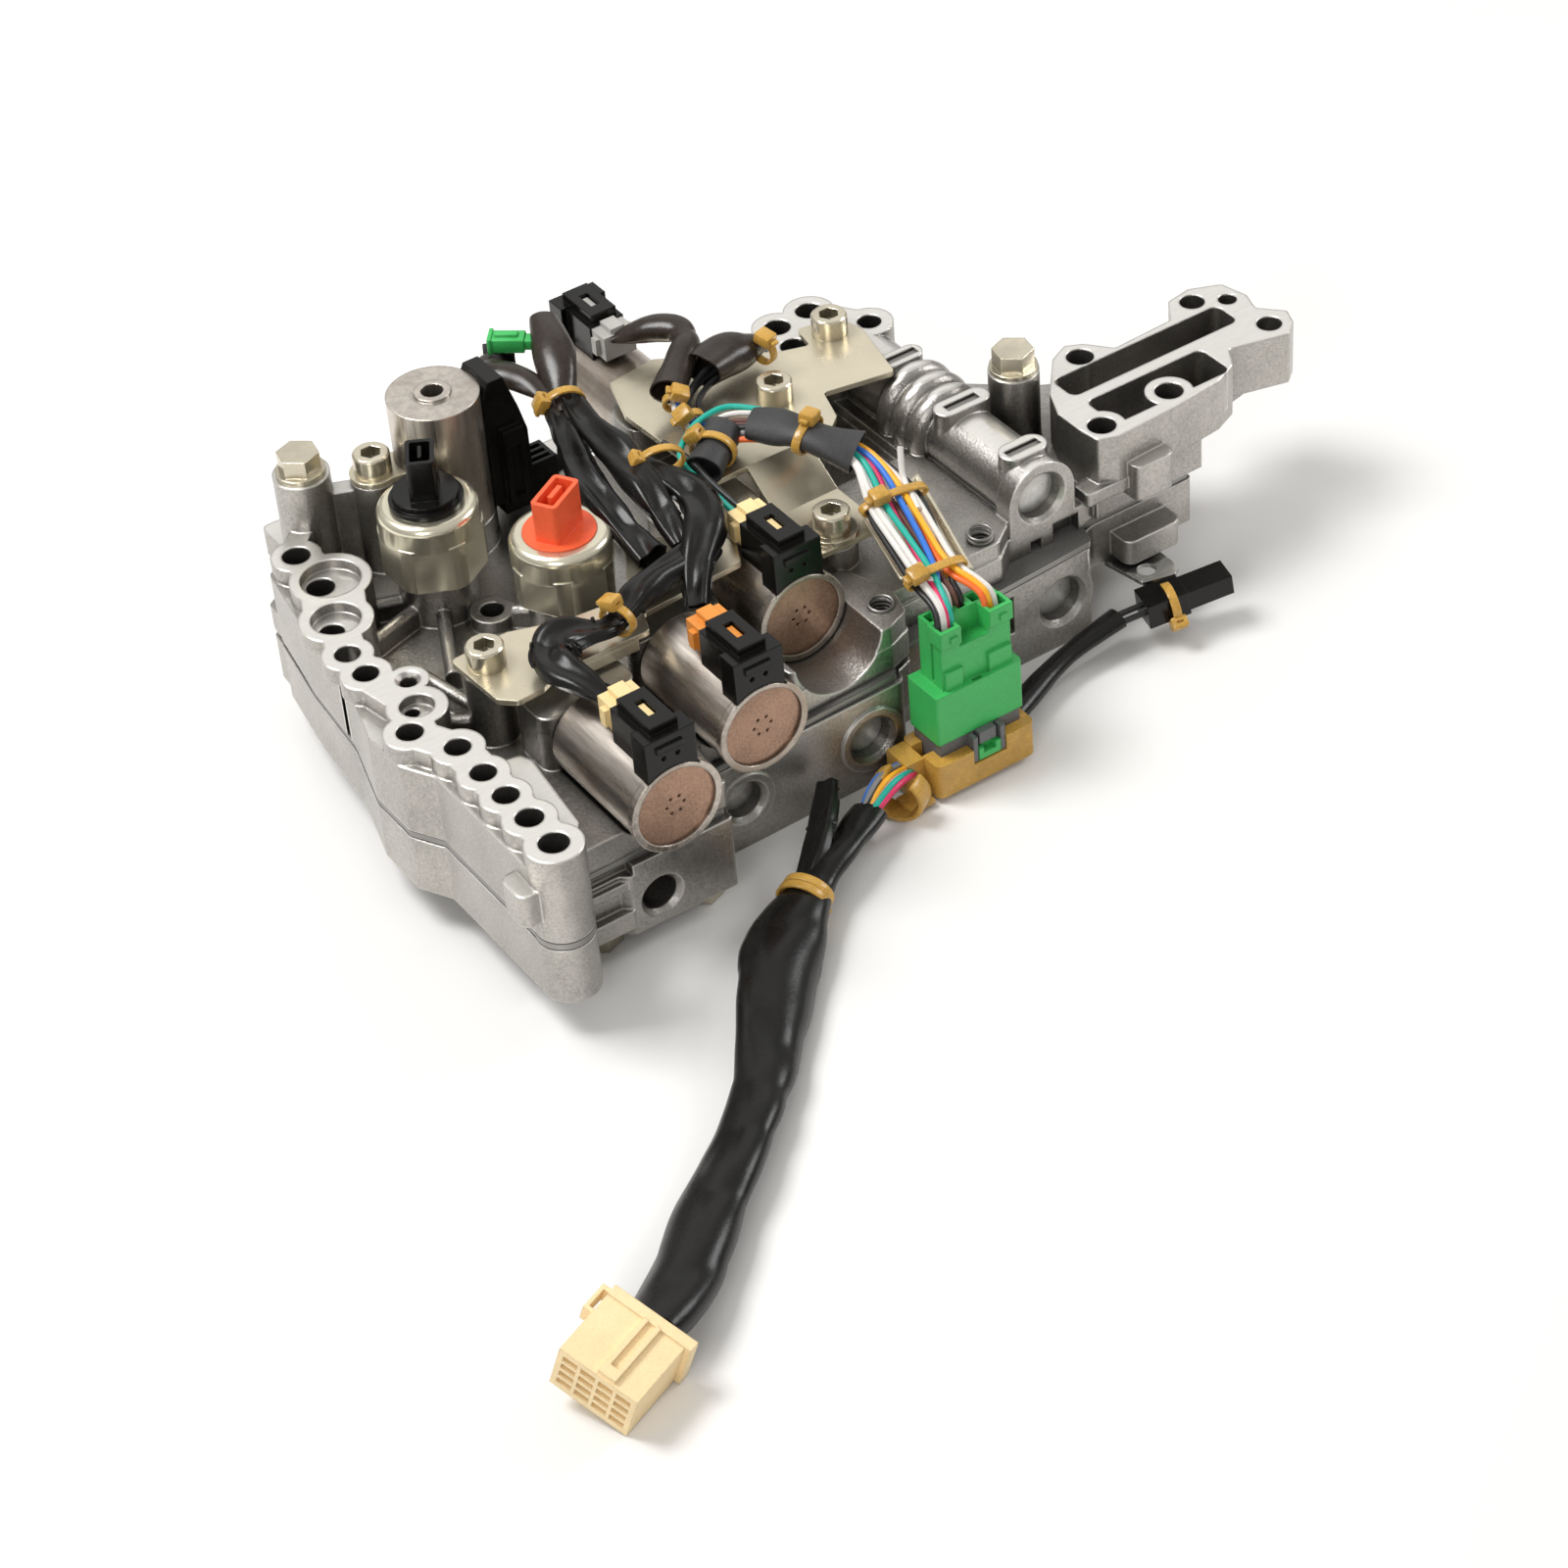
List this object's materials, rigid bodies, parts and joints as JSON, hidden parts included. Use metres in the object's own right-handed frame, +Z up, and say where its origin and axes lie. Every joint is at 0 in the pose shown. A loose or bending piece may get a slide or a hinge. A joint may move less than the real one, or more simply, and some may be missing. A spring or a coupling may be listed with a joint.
{
  "type": "transmission valve body",
  "caption": "Automatic transmission valve body: stacked castings with slide valves, solenoids, pressure switches, brackets and a wiring harness that steer oil to the clutches.",
  "frame": {"origin": "centre of the part's box at the surface that it lies on, without the loose tail and the short lead", "axes": "+X from the gallery flange to the port plate, +Y from the open valve bores to the back, +Z up, away from the surface"},
  "size_m": [0.3464, 0.3081, 0.087],
  "materials": {
    "cast_aluminium": "as cast, satin",
    "plate_steel": "rolled",
    "gasket_fibre": "fibre",
    "valve_alloy": "ground",
    "spring_steel": "wire",
    "zinc_steel": "yellow zinc",
    "bolt_zinc": "yellow zinc",
    "solenoid_steel": "drawn, dark",
    "solenoid_cap": "moulded",
    "nozzle_plastic": "moulded",
    "black_plastic": "moulded",
    "orange_plastic": "moulded",
    "cream_plastic": "moulded",
    "grey_plastic": "moulded",
    "green_plastic": "moulded",
    "amber_nylon": "translucent nylon",
    "black_sleeve": "soft vinyl",
    "wire_white": "vinyl insulation",
    "bright_tab": "bright"
  },
  "bodies": {
    "housing": {"upper_body": "cast_aluminium", "lower_body": "cast_aluminium", "separator_plate": "plate_steel", "dowel_pins": "plate_steel", "retainer_keys": "plate_steel", "upper_gasket": "gasket_fibre", "lower_gasket": "gasket_fibre", "bore_plugs": "valve_alloy", "valve_spring_a": "spring_steel", "valve_spring_b": "spring_steel", "valve_spring_c": "spring_steel", "valve_spring_d": "spring_steel", "solenoid_keeper": "zinc_steel", "bracket_left": "zinc_steel", "bracket_rear": "zinc_steel", "harness_tray": "zinc_steel", "switch_body_black": "zinc_steel", "switch_body_orange": "zinc_steel", "socket_bolts": "bolt_zinc", "flange_bolts": "bolt_zinc", "underside_bolts": "bolt_zinc", "flange_washer": "bolt_zinc", "solenoid_can_front_left": "solenoid_steel", "solenoid_can_front_middle": "solenoid_steel", "solenoid_can_front_right": "solenoid_steel", "solenoid_can_rear": "solenoid_steel", "solenoid_can_upright": "solenoid_steel", "solenoid_end_caps": "solenoid_cap", "solenoid_nozzles": "nozzle_plastic", "solenoid_connector_front_left": "black_plastic", "solenoid_connector_front_middle": "black_plastic", "solenoid_connector_front_right": "black_plastic", "solenoid_connector_rear": "black_plastic", "solenoid_connector_upright": "black_plastic", "switch_insert_black": "black_plastic", "lead_connector": "black_plastic", "switch_insert_orange": "orange_plastic", "harness_plug_middle": "orange_plastic", "harness_plug_left": "cream_plastic", "harness_plug_right": "cream_plastic", "tail_connector": "cream_plastic", "harness_plug_rear": "grey_plastic", "connector_base": "grey_plastic", "green_connector": "green_plastic", "connector_holder": "amber_nylon", "cable_ties": "amber_nylon", "branch_left": "black_sleeve", "branch_middle": "black_sleeve", "branch_rear": "black_sleeve", "main_sleeve": "black_sleeve", "tail_cord": "black_sleeve", "lead_cord": "black_sleeve", "wire_ribbon": "wire_white", "branch_right": "wire_white", "lead_tab": "bright_tab"},
    "manual": {"manual_valve": "valve_alloy"},
    "spool_a": {"valve_spool_a": "valve_alloy"},
    "spool_b": {"valve_spool_b": "valve_alloy"},
    "spool_c": {"valve_spool_c": "valve_alloy"},
    "spool_d": {"valve_spool_d": "valve_alloy"}
  },
  "joints": [
    {"name": "manual_valve_slide", "type": "slide", "parent": "housing", "child": "manual", "axis": [0, -1, 0], "range_m": [-0.012, 0.01]},
    {"name": "spool_a_slide", "type": "slide", "parent": "housing", "child": "spool_a", "axis": [0, -1, 0], "range_m": [0, 0.006], "stiffness_N_per_m": 2000, "springref_m": -0.004, "deforming": ["valve_spring_a"]},
    {"name": "spool_b_slide", "type": "slide", "parent": "housing", "child": "spool_b", "axis": [0, -1, 0], "range_m": [0, 0.006], "stiffness_N_per_m": 2000, "springref_m": -0.004, "deforming": ["valve_spring_b"]},
    {"name": "spool_c_slide", "type": "slide", "parent": "housing", "child": "spool_c", "axis": [0, -1, 0], "range_m": [0, 0.006], "stiffness_N_per_m": 2000, "springref_m": -0.004, "deforming": ["valve_spring_c"]},
    {"name": "spool_d_slide", "type": "slide", "parent": "housing", "child": "spool_d", "axis": [0, -1, 0], "range_m": [0, 0.004], "stiffness_N_per_m": 2000, "springref_m": -0.004, "deforming": ["valve_spring_d"]}
  ]
}
